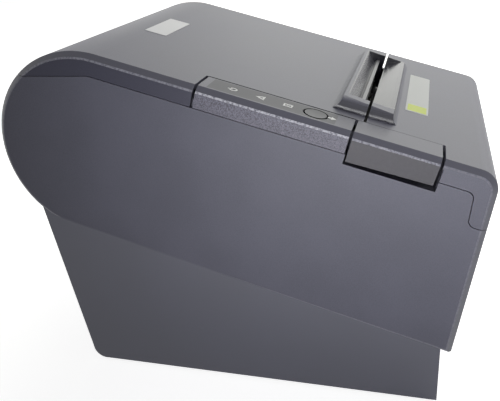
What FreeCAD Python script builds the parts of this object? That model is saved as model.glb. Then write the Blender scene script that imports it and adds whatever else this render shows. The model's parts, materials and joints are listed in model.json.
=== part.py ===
import FreeCAD, Part
import math
import os
import Sketcher

# Receipt printer for 80 mm paper rolls, in millimetres.
# Row frame: X across the printer, -Y is the front, +Z up, the feet stand on Z = 0.
# The upper case is built in a deck frame that is tilted about X by deck_slope: its origin is the
# centre of the rear round, y runs to the rear and z is square to the top face.

SIZES = [
    ("width", 142.0, "case width"),
    ("depth", 198.0, "rear round to front nose"),
    ("height", 147.0, "floor to the top of the rear round"),
    ("round_radius", 39.0, "rear round of the upper case"),
    ("deck_slope", 16.0, "fall of the top face to the front, degrees"),
    ("front_lean", 9.0, "lean of the front and rear faces, degrees"),
    ("nose_radius", 8.0, "round between top and front"),
    ("step_tilt", 0.8, "extra fall of the case's lower edge, degrees"),
    ("edge_chamfer", 2.2, "chamfer along both side edges"),
    ("edge_break", 0.45, "finer chamfer between the chamfer and the side"),
    ("wall", 2.2, "moulded wall"),
    ("foot_height", 1.5, "feet below the base"),
    ("base_front_setback", 15.3, "base front behind the nose"),
    ("base_rear_setback", 26.0, "base rear ahead of the round"),
    ("base_inset", 0.8, "base side inside the case side"),
    ("base_corner", 6.0, "rear lower round of the base"),
    ("seam_gap", 0.25, "narrow seams between covers"),
    ("end_gap", 1.1, "wide gaps at the moving covers"),
    ("skirt_drop", 8.4, "top face to the side seam"),
    ("tab_ahead", 0.9, "front cover tab ahead of the nose centre"),
    ("tab_drop", 21.2, "top face to the front cover's lower seam"),
    ("tab_round", 3.0, "rounds in the seam of the tab"),
    ("strip_width", 15.5, "control strip across the deck"),
    ("panel_rear", 106.2, "rear end of the control panel, behind the nose centre"),
    ("panel_front", 47.2, "front end of the control panel, behind the nose centre"),
    ("lever_front", 14.0, "front end of the lever, behind the nose centre"),
    ("lever_drop_rear", 11.2, "top face to the lever's lower edge, rear end"),
    ("lever_drop_front", 10.3, "top face to the lever's lower edge, front end"),
    ("bay_drop", 12.4, "top face to the floor of the lever bay"),
    ("bay_ahead", 1.5, "lever bay ahead of the lever"),
    ("slot_front", 43.1, "front edge of the paper slot, behind the nose centre"),
    ("slot_width", 3.1, "paper slot, front to rear"),
    ("paper_width", 80.0, "paper roll"),
    ("paper_play", 1.5, "trough beyond the paper's edge"),
    ("ridge_height", 4.8, "exit ridge above the deck"),
    ("ridge_fall", 1.2, "crest ahead of the slot below the crest behind it"),
    ("ridge_rim", 1.8, "crest beside the trough, rear and front"),
    ("ridge_end_rim", 2.6, "crest beside the trough, at its ends"),
    ("rear_flank", 2.8, "run of the ridge's rear flank"),
    ("rear_hollow", 6.0, "hollow of the rear flank, radius"),
    ("front_flank", 2.2, "run of the ridge's front flank"),
    ("front_hollow", 5.0, "hollow of the front flank, radius"),
    ("trough_rear", 6.6, "trough behind the slot"),
    ("trough_front", 7.1, "trough ahead of the slot"),
    ("hinge_radius", 2.2, "lid hinge barrel"),
    ("hinge_inset", 15.0, "hinge ends inside the case side"),
    ("ear_width", 6.0, "hinge ears of the housing"),
    ("pin_radius", 1.2, "lid hinge pin"),
    ("running_fit", 0.06, "radial play of turning parts"),
    ("platen_back", 53.2, "platen axis behind the nose centre"),
    ("platen_up", 21.0, "platen axis above the round's centre"),
    ("platen_radius", 6.5, "platen rubber"),
    ("shaft_radius", 2.0, "platen and cutter shafts"),
    ("plate_gap", 2.5, "paper edge to the frame plates"),
    ("sheet", 1.2, "sheet steel of the mechanism"),
    ("gear_module", 0.6, "paper feed gears"),
    ("platen_teeth", 30, "gear on the platen"),
    ("idler_small_teeth", 16, "idler, platen side"),
    ("idler_large_teeth", 40, "idler, motor side"),
    ("motor_teeth", 14, "feed motor pinion"),
    ("mesh_play", 0.1, "added to each gear distance"),
    ("idler_lead", 2.5, "idler axis ahead of the platen"),
    ("motor_lead", 10.4, "motor axis ahead of the idler"),
    ("motor_radius", 13.0, "feed motor can"),
    ("motor_length", 20.0, "motor cans"),
    ("blade_up", 30.2, "underside of the moving blade"),
    ("blade_thick", 1.0, "moving blade"),
    ("blade_length", 30.0, "moving blade, edge to tail"),
    ("blade_reach", 0.4, "blade edge behind the slot's front edge at rest"),
    ("rack_module", 0.8, "cutter racks and their pinions"),
    ("rack_inset", 5.5, "cutter racks inside the paper's edge"),
    ("rack_width", 4.0, "cutter racks and their pinions"),
    ("cutter_teeth", 12, "pinions under the racks"),
    ("cutter_lead", 29.0, "cutter shaft ahead of the platen"),
    ("drive_module", 0.5, "cutter drive gears"),
    ("drive_teeth", 36, "gear on the cutter shaft"),
    ("drive_pinion_teeth", 12, "cutter motor pinion"),
    ("drive_lead", 3.0, "cutter motor axis ahead of its gear"),
    ("drive_radius", 6.0, "cutter motor can"),
    ("roll_ahead", 22.0, "paper roll axis ahead of the round"),
    ("roll_drop", 4.0, "paper roll axis below the round's centre"),
    ("roll_radius", 41.5, "inside of the paper well"),
    ("well_wall", 1.8, "paper well wall"),
    ("button_radius", 4.7, "feed button"),
    ("button_back", 61.7, "feed button behind the nose centre"),
    ("button_travel", 1.2, "feed button stroke"),
    ("button_play", 0.25, "gap around the feed button"),
    ("film", 0.3, "panel overlay film"),
    ("lamp_radius", 1.2, "light guides under the film"),
    ("lamp_lead", 7.0, "first light guide ahead of the panel's rear end"),
    ("lamp_pitch", 10.8, "light guides along the panel"),
    ("lever_axis_lead", 2.0, "lever axis ahead of its rear end"),
    ("lever_axis_drop", 4.2, "lever axis below the top face"),
    ("lever_ear_in", 7.0, "lever ear inside the case side"),
    ("lever_ear_width", 4.0, "lever ear"),
    ("lever_pin_radius", 1.0, "lever pin"),
    ("side_play", 0.8, "sideways play of the lever on its ear"),
    ("board", 1.6, "circuit boards"),
    ("board_up", 12.0, "main board above the floor"),
    ("screw_in", 11.0, "case screws inside the case side"),
]

doc = FreeCAD.newDocument("receipt_printer")
sheet_object = doc.addObject("Spreadsheet::Sheet", "Sizes")
for row, (alias, value, note) in enumerate(SIZES, 1):
    sheet_object.set("A%d" % row, note)
    sheet_object.set("B%d" % row, str(value))
    sheet_object.setAlias("B%d" % row, alias)
doc.recompute()


class Size:
    """A number that keeps the sheet expression it comes from."""

    def __init__(self, value, text):
        self.value = float(value)
        self.text = text

    def __add__(self, other):
        return Size(self.value + num(other), "(%s + %s)" % (self.text, txt(other)))

    def __radd__(self, other):
        return Size(num(other) + self.value, "(%s + %s)" % (txt(other), self.text))

    def __sub__(self, other):
        return Size(self.value - num(other), "(%s - %s)" % (self.text, txt(other)))

    def __rsub__(self, other):
        return Size(num(other) - self.value, "(%s - %s)" % (txt(other), self.text))

    def __mul__(self, other):
        return Size(self.value * num(other), "%s * %s" % (self.text, txt(other)))

    def __rmul__(self, other):
        return Size(num(other) * self.value, "%s * %s" % (txt(other), self.text))

    def __truediv__(self, other):
        return Size(self.value / num(other), "%s / (%s)" % (self.text, txt(other)))

    def __rtruediv__(self, other):
        return Size(num(other) / self.value, "%s / (%s)" % (txt(other), self.text))

    def __neg__(self):
        return Size(-self.value, "(0 - %s)" % self.text)


def num(size):
    return size.value if isinstance(size, Size) else float(size)


def txt(size):
    return size.text if isinstance(size, Size) else "(%r)" % float(size)


def cell(alias):
    return Size(sheet_object.get(alias), "Sizes." + alias)


def sine(angle):
    return Size(math.sin(math.radians(angle.value)), "sin(%s)" % angle.text)


def cosine(angle):
    return Size(math.cos(math.radians(angle.value)), "cos(%s)" % angle.text)


def tangent(angle):
    return Size(math.tan(math.radians(angle.value)), "tan(%s)" % angle.text)


def root(square):
    return Size(math.sqrt(square.value), "sqrt(%s)" % square.text)


def bind(thing, field, size):
    """Tie a property to the sheet where the size comes from it."""
    if isinstance(size, Size):
        thing.setExpression(field, size.text)


# Sizes used by several pieces

width = cell("width")
wall = cell("wall")
radius = cell("round_radius")
slope = cell("deck_slope")
lean = cell("front_lean")
tilt = slope - lean
nose = cell("nose_radius")
chamfer = cell("edge_chamfer")
seam = cell("seam_gap")
gap = cell("end_gap")
fit = cell("running_fit")
half = width / 2
inside = half - wall
beyond = cell("depth") + cell("height")
round_y = cell("depth") / 2 - radius
round_z = cell("height") - radius
floor_z = cell("foot_height")
under = radius - chamfer
skirt_z = radius - cell("skirt_drop")
tab_z = radius - cell("tab_drop")
ceiling = radius - wall
nose_up = radius - nose
nose_ahead = (cell("depth") - radius - nose - nose_up * sine(slope)) / cosine(slope)


def behind_nose(alias):
    """Distance ahead of the round of a place that is measured back from the nose centre."""
    return nose_ahead - cell(alias)


strip_x = cell("strip_width") - half
slot = behind_nose("slot_front")
slot_back = slot - cell("slot_width")
lid_front = slot - gap
panel_start = behind_nose("panel_rear")
panel_end = behind_nose("panel_front")
lever_start = panel_end + gap
lever_end = behind_nose("lever_front")
platen_ahead = behind_nose("platen_back")
paper_half = cell("paper_width") / 2
trough_half = paper_half + cell("paper_play")
plate_x = paper_half + cell("plate_gap")
sheet = cell("sheet")


def at(y, z):
    """Row position of a point in the deck frame."""
    return round_y + y * cosine(slope) - z * sine(slope), round_z + y * sine(slope) + z * cosine(slope)


def put(thing, x, y, z, axis, angle):
    """Place a piece; angle is turned about axis."""
    thing.Placement = FreeCAD.Placement(
        FreeCAD.Vector(num(x), num(y), num(z)),
        FreeCAD.Rotation(FreeCAD.Vector(*axis), num(angle)))
    bind(thing, "Placement.Base.x", x)
    bind(thing, "Placement.Base.y", y)
    bind(thing, "Placement.Base.z", z)
    bind(thing, "Placement.Rotation.Angle", angle)
    return thing


def deck(thing):
    """Lay a piece drawn in the deck frame into the row frame."""
    return put(thing, 0, round_y, round_z, (1, 0, 0), slope)


def draw(body, name, plane, path, offset=0):
    """Closed sketch on an origin plane; a vertex's third entry is the radius of the arc that follows it,
    positive when the arc turns with the outline and negative when it turns against it."""
    sketch = body.newObject("Sketcher::SketchObject", name)
    face = [item for item in body.Origin.OriginFeatures if item.Role == plane][0]
    sketch.AttachmentSupport = (face, "")
    sketch.MapMode = "FlatFace"
    sketch.AttachmentOffset = FreeCAD.Placement(FreeCAD.Vector(0, 0, num(offset)), FreeCAD.Rotation())
    bind(sketch, "AttachmentOffset.Base.z", offset)
    count = len(path)
    ends = []
    for index in range(count):
        here = FreeCAD.Vector(num(path[index][0]), num(path[index][1]), 0)
        there = FreeCAD.Vector(num(path[(index + 1) % count][0]), num(path[(index + 1) % count][1]), 0)
        if len(path[index]) < 3:
            sketch.addGeometry(Part.LineSegment(here, there))
            ends.append((1, 2))
            continue
        bend = num(path[index][2])
        chord = there - here
        reach = math.sqrt(max(bend * bend - chord.Length ** 2 / 4, 0))
        side = FreeCAD.Vector(-chord.y, chord.x, 0).normalize() * math.copysign(reach, bend)
        middle = (here + there) * 0.5 + side
        first, last = (here, there) if bend > 0 else (there, here)
        start = math.atan2(first.y - middle.y, first.x - middle.x)
        stop = math.atan2(last.y - middle.y, last.x - middle.x)
        circle = Part.Circle(middle, FreeCAD.Vector(0, 0, 1), abs(bend))
        sketch.addGeometry(Part.ArcOfCircle(circle, start, stop if stop > start else stop + 2 * math.pi))
        ends.append((1, 2) if bend > 0 else (2, 1))
    for index in range(count):
        after = (index + 1) % count
        sketch.addConstraint(Sketcher.Constraint("Coincident", index, ends[index][1], after, ends[after][0]))
        for field, size in (("DistanceX", path[index][0]), ("DistanceY", path[index][1])):
            tie = sketch.addConstraint(Sketcher.Constraint(field, -1, 1, index, ends[index][0], num(size)))
            bind(sketch, "Constraints[%d]" % tie, size)
        if len(path[index]) > 2:
            tie = sketch.addConstraint(Sketcher.Constraint("Radius", index, abs(num(path[index][2]))))
            bend = path[index][2]
            if isinstance(bend, Size):
                bind(sketch, "Constraints[%d]" % tie, bend if num(bend) > 0 else -bend)
    return sketch


def pad(body, name, sketch, length, middle=False, taper=0):
    feature = body.newObject("PartDesign::Pad", name)
    feature.Profile = sketch
    feature.Length = num(length)
    feature.Midplane = middle
    feature.TaperAngle = num(taper)
    bind(feature, "Length", length)
    bind(feature, "TaperAngle", taper)
    return feature


def pocket(body, name, sketch, length, middle=False):
    feature = body.newObject("PartDesign::Pocket", name)
    feature.Profile = sketch
    feature.Length = num(length)
    feature.Midplane = middle
    bind(feature, "Length", length)
    return feature


def dress(body, kind, size, test):
    """Fillet or chamfer the edges of the body's tip that pass the test."""
    doc.recompute()
    shape = body.Tip.Shape
    names = ["Edge%d" % (k + 1) for k, edge in enumerate(shape.Edges) if test(edge)]
    base = body.Tip
    feature = body.newObject("PartDesign::" + kind, body.Name + "_" + kind)
    feature.Base = (base, names)
    field = "Size" if kind == "Chamfer" else "Radius"
    setattr(feature, field, num(size))
    bind(feature, field, size)
    doc.recompute()
    return feature


def new_body(name):
    return doc.addObject("PartDesign::Body", name)


def side_prism(name, path, start, length, tilted=True):
    """Outline in the side view, (y, z), padded across the printer from x = start."""
    body = new_body(name)
    pad(body, name + "_pad", draw(body, name + "_outline", "YZ_Plane", path, start), length)
    return deck(body) if tilted else body


def plan_prism(name, path, start, length, tilted=True):
    """Outline in the plan view, (x, y), padded upwards from z = start."""
    body = new_body(name)
    pad(body, name + "_pad", draw(body, name + "_outline", "XY_Plane", path, start), length)
    return deck(body) if tilted else body


def front_prism(name, path, start, length):
    """Outline in the front view, (x, z), padded forwards from start, in the deck frame."""
    body = new_body(name)
    pad(body, name + "_pad", draw(body, name + "_outline", "XZ_Plane", path, start), length)
    return deck(body)


def block(name, x, y, z, tilted=True):
    """Box from the (from, to) pairs x, y and z."""
    box = doc.addObject("Part::Box", name)
    for field, span in (("Length", x), ("Width", y), ("Height", z)):
        setattr(box, field, num(span[1]) - num(span[0]))
        size = span[1] - span[0]
        bind(box, field, size)
    if tilted:
        across, up = at(y[0], z[0])
        return put(box, x[0], across, up, (1, 0, 0), slope)
    return put(box, x[0], y[0], z[0], (1, 0, 0), 0)


def drum(name, size, x, y, z, tilted=True):
    """Cylinder along X between the pair x, about the point y, z."""
    thing = doc.addObject("Part::Cylinder", name)
    thing.Radius = num(size)
    thing.Height = num(x[1]) - num(x[0])
    bind(thing, "Radius", size)
    bind(thing, "Height", x[1] - x[0])
    across, up = at(y, z) if tilted else (y, z)
    return put(thing, x[0], across, up, (0, 1, 0), 90)


def post(name, size, x, y, z, tilted=False):
    """Upright cylinder between the pair z, square to the deck where tilted."""
    thing = doc.addObject("Part::Cylinder", name)
    thing.Radius = num(size)
    thing.Height = num(z[1]) - num(z[0])
    bind(thing, "Radius", size)
    bind(thing, "Height", z[1] - z[0])
    if tilted:
        across, up = at(y, z[0])
        return put(thing, x, across, up, (1, 0, 0), slope)
    return put(thing, x, y, z[0], (0, 0, 1), 0)


def join(name, *pieces):
    thing = doc.addObject("Part::MultiFuse", name)
    thing.Shapes = list(pieces)
    thing.Refine = True
    return thing


def less(name, base, *tools):
    thing = doc.addObject("Part::Cut", name)
    thing.Base = base
    thing.Tool = tools[0] if len(tools) == 1 else join(name + "_tools", *tools)
    thing.Refine = True
    return thing


def both(name, first, second):
    thing = doc.addObject("Part::MultiCommon", name)
    thing.Shapes = [first, second]
    thing.Refine = True
    return thing


def group(name, *pieces):
    thing = doc.addObject("Part::Compound", name)
    thing.Links = list(pieces)
    return thing


def mirrored(name, piece):
    """The same piece on the other side of the printer."""
    thing = doc.addObject("Part::Mirroring", name)
    thing.Source = piece
    thing.Normal = FreeCAD.Vector(1, 0, 0)
    return thing


NODES = []


def node(label, thing):
    """Keep a finished piece under the name of its file."""
    thing.Label = label
    NODES.append(thing)
    return thing


# Upper case form: rear round, sloping deck, nose, chamfered sides


def case_outline(shell, bottom):
    """Side outline of the upper case moved inwards by shell and ending at z = bottom."""
    size = radius - shell
    bend = nose - shell
    low_y = -(nose_ahead + bend * cosine(tilt)) - (nose_up + bend * sine(tilt) - bottom) * tangent(tilt)
    return [
        (0, size),
        (-nose_ahead, size, bend),
        (-(nose_ahead + bend * cosine(tilt)), nose_up + bend * sine(tilt)),
        (low_y, bottom),
        (0, bottom, size),
        (size, 0, size),
    ]


def on_side(edge):
    """Whether an edge lies in one of the side faces."""
    box = edge.BoundBox
    return box.XLength < 0.001 and abs(abs(box.XMin) - num(half)) < 0.001


case_block = new_body("case_form")
case_sketch = draw(case_block, "case_outline", "YZ_Plane", case_outline(0, -radius))
pad(case_block, "case_pad", case_sketch, width, True)
dress(case_block, "Chamfer", chamfer, on_side)
dress(case_block, "Chamfer", cell("edge_break"), on_side)
step_y = -(nose_ahead + nose)
step_low = wall * 0.7 - under
step_fall = (nose_ahead + nose) * tangent(cell("step_tilt"))
trim = [
    (radius * 2, -radius * 2),
    (radius, step_low),
    (step_y, step_low - step_fall),
    (step_y - radius, step_low - step_fall - wall),
    (step_y - radius, -radius * 2),
]
pocket(case_block, "underside_cut", draw(case_block, "underside", "YZ_Plane", trim), width + wall, True)
deck(case_block)

# Exit ridge: hollow flanks to the rear and front, ends rounded like a bead, and the trough around the slot

crest = radius + cell("ridge_height")
front_crest = crest - cell("ridge_fall")
rim_rear = slot_back - cell("trough_rear") - cell("ridge_rim")
rim_front = slot + cell("trough_front") + cell("ridge_rim")
ridge_rear = rim_rear - cell("rear_flank")
ridge_front = rim_front + cell("front_flank")
ridge_foot = radius - wall * 0.5
ridge_side = side_prism("ridge_side", [
    (-ridge_front, ridge_foot),
    (-ridge_rear, ridge_foot),
    (-ridge_rear, radius, -cell("rear_hollow")),
    (-rim_rear, crest),
    (-rim_front, front_crest, -cell("front_hollow")),
    (-ridge_front, radius),
], -half, width)
ridge_half = trough_half + cell("ridge_end_rim")
bead = cell("ridge_height")
ridge_end = front_prism("ridge_end", [
    (-ridge_half - bead, ridge_foot),
    (ridge_half + bead, ridge_foot),
    (ridge_half + bead, radius, bead),
    (ridge_half, crest),
    (-ridge_half, crest, bead),
    (-ridge_half - bead, radius),
], ridge_rear - wall, ridge_front - ridge_rear + wall * 2)
ridge = both("ridge", ridge_side, ridge_end)
trough_floor = radius + 0.5
trough = side_prism("trough", [
    (-(slot + cell("trough_front")), crest + wall),
    (-(slot + cell("trough_front")), front_crest),
    (-(slot + 0.4), trough_floor),
    (-(slot_back - 2.4), trough_floor),
    (-(slot_back - cell("trough_rear")), crest),
    (-(slot_back - cell("trough_rear")), crest + wall),
], -trough_half, trough_half * 2)
case = less("case_full", join("case_ridged", case_block, ridge), trough)

space = new_body("case_space")
pad(space, "space_pad", draw(space, "space_outline", "YZ_Plane", case_outline(wall, wall - under)),
    inside * 2, True)
deck(space)
shell = less("case_shell", case, space)

# Where the covers part from the main housing, in the side view: level at the rear, then along the deck

seam_rise = 0.35
seam_level = skirt_z * cosine(slope) + seam_rise
seam_turn = -seam_rise / sine(slope)
tab_round = cell("tab_round")


def turned(path):
    """The same outline run the other way round."""
    back = []
    for index in range(len(path) - 1, -1, -1):
        before = path[index - 1]
        back.append((path[index][0], path[index][1], -before[2]) if len(before) > 2 else path[index][:2])
    return back


def cover_zone(name, drop):
    """Space of all covers, its lower side moved down by drop."""
    rear = radius * 2
    lower = tab_z - drop
    tab_y = -(nose_ahead + cell("tab_ahead") - drop)
    path = [
        (rear, (seam_level - drop - rear * sine(slope)) / cosine(slope)),
        (rear, rear),
        (-beyond, rear),
        (-beyond, lower),
        (tab_y - (skirt_z - lower) * tangent(tilt) - tab_round, lower, tab_round),
        (tab_y - (skirt_z - lower - tab_round) * tangent(tilt), lower + tab_round),
        (tab_y, skirt_z - drop - tab_round, -tab_round),
        (tab_y + tab_round, skirt_z - drop),
        (-seam_turn, skirt_z - drop),
    ]
    return side_prism(name, turned(path), -beyond, beyond * 2)


covers = both("covers", shell, cover_zone("cover_zone", 0))

# Lid hinge: in the corner where the level part of the seam meets the rear round

hinge = cell("hinge_radius")
hinge_play = 0.4
hinge_level = seam_level - seam / 2
hinge_back = root(radius * radius - hinge_level * hinge_level)
hinge_y = round_y + hinge_back
hinge_z = round_z + hinge_level
hinge_end = half - cell("hinge_inset")
hinge_span = (-hinge_end - hinge_play, hinge_end + hinge_play)
hinge_room = drum("hinge_room", hinge + hinge_play, hinge_span, hinge_y, hinge_z, False)
lower_shell = less("lower_shell", shell, cover_zone("cover_clearance", seam), hinge_room)

# Base tray: floor, leaning rear wall with the sockets, sides just inside the case

base_front = cell("base_front_setback") - cell("depth") / 2
base_rear = cell("depth") / 2 - cell("base_rear_setback")
base_corner = cell("base_corner")


def base_outline(shell_in):
    low = floor_z + shell_in
    high = round_z - radius / 4
    rear = base_rear - shell_in / cosine(lean)
    bend = base_corner - shell_in
    return [
        (base_front + shell_in, high),
        (base_front + shell_in, low),
        (rear - bend, low, bend),
        (rear + bend * sine(lean), low + bend),
        (rear + (high - low) * tangent(lean), high),
    ]


base_half = half - cell("base_inset")
base_block = side_prism("base_block", base_outline(0.0), -base_half, base_half * 2, False)
base_hollow = side_prism("base_hollow", base_outline(wall), wall - base_half, (base_half - wall) * 2, False)
base_shell = less("base_shell", less("base_hull", base_block, base_hollow), case)

socket_y = (base_rear - 18, base_rear + 20)
socket_low = cell("board_up") + cell("board")


def socket_hole(name, x, high, play):
    span_z = (socket_low - play, socket_low + high + play)
    return block(name, (x[0] - play, x[1] + play), socket_y, span_z, False)


power_x = (-50.0, -38.0)
data_x = (-27.0, -15.0)
network_x = (-4.0, 12.0)
drawer_x = (23.0, 37.0)
screw_x = half - cell("screw_in")
screw_y = (base_front + 17.7, base_rear - 27.0)
foot_lead = 10.0
screw_holes = []
feet = []
foot_seats = []
screws = []
towers = []
for x_side in (-1, 1):
    for k, y_spot in enumerate(screw_y):
        tag = "%s%s" % ("near" if x_side < 0 else "far", "front" if k == 0 else "rear")
        x_spot = x_side * screw_x
        screw_holes.append(post("screw_hole_" + tag, 1.9, x_spot, y_spot, (floor_z - 1, floor_z + 5)))
        screw_holes.append(post("screw_seat_" + tag, 3.6, x_spot, y_spot, (floor_z - 1, floor_z + 1)))
        head = post("screw_head_" + tag, 3.2, x_spot, y_spot, (floor_z - 0.8, floor_z + 1))
        shank = post("screw_shank_" + tag, 1.5, x_spot, y_spot, (floor_z + 1, floor_z + 12))
        screws.append(join("screw_" + tag, head, shank))
        plate_z = round_z - under / cosine(slope) + (y_spot - round_y) * tangent(slope)
        tower = post("tower_" + tag, 4.0, x_spot, y_spot, (floor_z + wall, plate_z + 1.5))
        towers.append(less("tower_bored_" + tag, tower,
                           post("tower_bore_" + tag, 1.5, x_spot, y_spot, (floor_z, floor_z + 14))))
        foot_y = y_spot + foot_lead if k == 0 else y_spot - foot_lead
        foot_x = x_spot - x_side * 4
        feet.append(post("foot_" + tag, 6.0, foot_x, foot_y, (floor_z * 0, floor_z + 0.8)))
        foot_seats.append(post("foot_seat_" + tag, 6.2, foot_x, foot_y, (floor_z - 1, floor_z + 0.8)))
board_half = half - 17.0
board_front = base_front + 23.7
post_in = 8.0
board_rear = base_rear - 5.0
board_spots = [(side * (board_half - post_in), y) for side in (-1, 1)
               for y in (board_front + post_in, board_rear - 28.0)]
board_screw = 1.2
board_bore = (floor_z + wall + 1, socket_low)
standoffs = [post("standoff_%s" % "abcd"[k], 3.0, x, y, (floor_z + wall - 0.1, cell("board_up")))
             for k, (x, y) in enumerate(board_spots)]
standoff_bores = [post("standoff_bore_%s" % "abcd"[k], board_screw, x, y, board_bore)
                  for k, (x, y) in enumerate(board_spots)]
base_tray = less(
    "base_cut", join("base_built", base_shell, *standoffs),
    socket_hole("power_hole", power_x, 11.0, 0.4), socket_hole("data_hole", data_x, 11.0, 0.4),
    socket_hole("network_hole", network_x, 13.0, 0.4), socket_hole("drawer_hole", drawer_x, 12.0, 0.4),
    *screw_holes, *foot_seats, *standoff_bores)
node("base_tray", base_tray)
node("rubber_feet", group("feet", *feet))
node("case_screws", group("screws", *screws))

# Main board and the sockets at the rear

main_board = block("board_blank", (-board_half, board_half), (board_front, board_rear),
                   (cell("board_up"), socket_low), False)
board_holes = [post("board_hole_%s" % "abcd"[k], board_screw + 0.3, x, y, (floor_z, socket_low + 1))
               for k, (x, y) in enumerate(board_spots)]
node("main_board", less("board_drilled", main_board, *board_holes))
board_screws = [join("board_screw_%s" % "abcd"[k],
                     post("board_shank_%s" % "abcd"[k], board_screw, x, y, board_bore),
                     post("board_head_%s" % "abcd"[k], board_screw * 2, x, y, (socket_low, socket_low + 1.6)))
                for k, (x, y) in enumerate(board_spots)]
node("board_screws", group("board_screw_set", *board_screws))


def socket(label, x, high, hole):
    """Socket on the main board with a recess to the rear."""
    body = block(label + "_block", x, (base_rear - 20, base_rear), (socket_low, socket_low + high), False)
    return node(label, less(label + "_cut", body, hole))


mid = (power_x[0] + power_x[1]) / 2
bore = doc.addObject("Part::Cylinder", "power_bore")
bore.Radius = 4.6
bore.Height = 12
put(bore, mid, base_rear - 9, socket_low + 5.5, (1, 0, 0), -90)
pin_block = block("power_key", (mid - 1.2, mid + 1.2), (base_rear - 9.5, base_rear - 3),
                  (socket_low + 4.3, socket_low + 6.7), False)
socket("power_socket", power_x, 11.0, less("power_recess", bore, pin_block))
recess_rear = base_rear + 1
data_mouth = block("data_mouth", (-25.0, -17.0), (base_rear - 10, recess_rear),
                   (socket_low + 1.8, socket_low + 9.2), False)
data_tongue = block("data_tongue", (-23.5, -18.5), (base_rear - 11, base_rear - 1),
                    (socket_low + 4, socket_low + 7), False)
socket("data_socket", data_x, 11.0, less("data_recess", data_mouth, data_tongue))
network_mouth = block("network_mouth", (-2.0, 10.0), (base_rear - 13, recess_rear),
                      (socket_low + 4, socket_low + 11.5), False)
network_key = block("network_key", (1.0, 7.0), (base_rear - 13, recess_rear),
                    (socket_low + 1.6, socket_low + 4.5), False)
socket("network_socket", network_x, 13.0, join("network_recess", network_mouth, network_key))
drawer_mouth = block("drawer_mouth", (25.0, 35.0), (base_rear - 12, recess_rear),
                     (socket_low + 4, socket_low + 10.5), False)
drawer_key = block("drawer_key", (28.0, 32.0), (base_rear - 12, recess_rear),
                   (socket_low + 1.6, socket_low + 4.5), False)
socket("drawer_socket", drawer_x, 12.0, join("drawer_recess", drawer_mouth, drawer_key))

# Place of the paper roll, in the deck frame

roll_y = -cell("roll_ahead")
roll_z = -cell("roll_drop")
roll = cell("roll_radius")
well_wall = cell("well_wall")
well_top = skirt_z - 9
shelf_front = -(platen_ahead - 13)


def well_outline(shell_out):
    size = roll + shell_out
    return [
        (roll_y - size, well_top + 1), (roll_y - size, roll_z, size), (roll_y, roll_z - size, size),
        (roll_y + size, roll_z), (roll_y + size, well_top + 1)]


# Main housing: sides, rear round and front, open below into the base, with the lever bay and hinge ears

ear_x = (-hinge_end + 6.0, -hinge_end + 6.0 + cell("ear_width"))
bay_wall_thick = 1.8
bay_z = radius - cell("bay_drop")
bay_low = bay_z - 1.6
bay_top = radius - 4.5
bay_end = lever_end + cell("bay_ahead")
bay_start = panel_end + 0.4
bay_inner = strip_x + bay_wall_thick
finger = block("finger_space", (-beyond, strip_x), (-bay_end, -bay_start), (bay_z, bay_top + 1.0))
bay_floor = block("bay_floor", (wall * 0.5 - half, bay_inner), (-bay_end, 1.0 - bay_start), (bay_low, bay_z))
bay_wall = block("bay_wall", (strip_x, bay_inner), (-bay_end, 1.0 - bay_start), (bay_low, bay_top))
bay_front = block("bay_front", (wall + 0.5 - half, bay_inner), (-bay_end - 1.2, 0.1 - bay_end),
                  (bay_low, bay_top))
lever_y = -(lever_start + cell("lever_axis_lead"))
lever_z = radius - cell("lever_axis_drop")
lever_ear = (cell("lever_ear_in") - half, cell("lever_ear_in") + cell("lever_ear_width") - half)
lever_pin = cell("lever_pin_radius")
bay_ear = join(
    "bay_ear", block("bay_ear_web", lever_ear, (lever_y - 2.2, lever_y + 2.2), (bay_z - 1, lever_z)),
    drum("bay_ear_eye", lever_pin + 0.9, lever_ear, lever_y, lever_z))
opening_half = half - 20
well_hole = side_prism("bottom_opening", base_outline(wall), -opening_half, opening_half * 2, False)
bottom_cut = both("bottom_cut", well_hole, block(
    "bottom_slab", (-half, half), (-nose_ahead - radius, radius * 1.5), (-under - wall, wall - under + 0.1)))
ear_drop = 14.0
ear_web = both("ear_web", case, block(
    "ear_web_blank", ear_x, (hinge_y - 4.0, hinge_y + hinge), (hinge_z - ear_drop, hinge_z - seam), False))
ear_eye = drum("ear_eye", hinge - 0.2, ear_x, hinge_y, hinge_z, False)
pin_end = ear_x[1] + 7.5
pin_radius = cell("pin_radius")
ear = less("ear_near", join("ear_raw", ear_web, ear_eye),
           drum("ear_bore", pin_radius, (ear_x[0], ear_x[1]), hinge_y, hinge_z, False))
rim_rear_y = -2.0
rim_low = skirt_z - 6
rim_top = skirt_z + 2.5
rim_thick = 1.2
rim_play = 0.3


def rim(tag, front):
    """Ledge behind the side seam, from the rear to the distance front, drawn on the near side."""
    outer = wall + rim_play - half
    along = (-front, rim_rear_y)
    ledge = block("rim_" + tag, (outer, outer + rim_thick), along, (rim_low, rim_top))
    link = block("rim_link_" + tag, (wall * 0.5 - half, outer + rim_thick * 0.5), along,
                 (rim_low, skirt_z - 2.5))
    return join("rim_built_" + tag, ledge, link)


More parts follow.
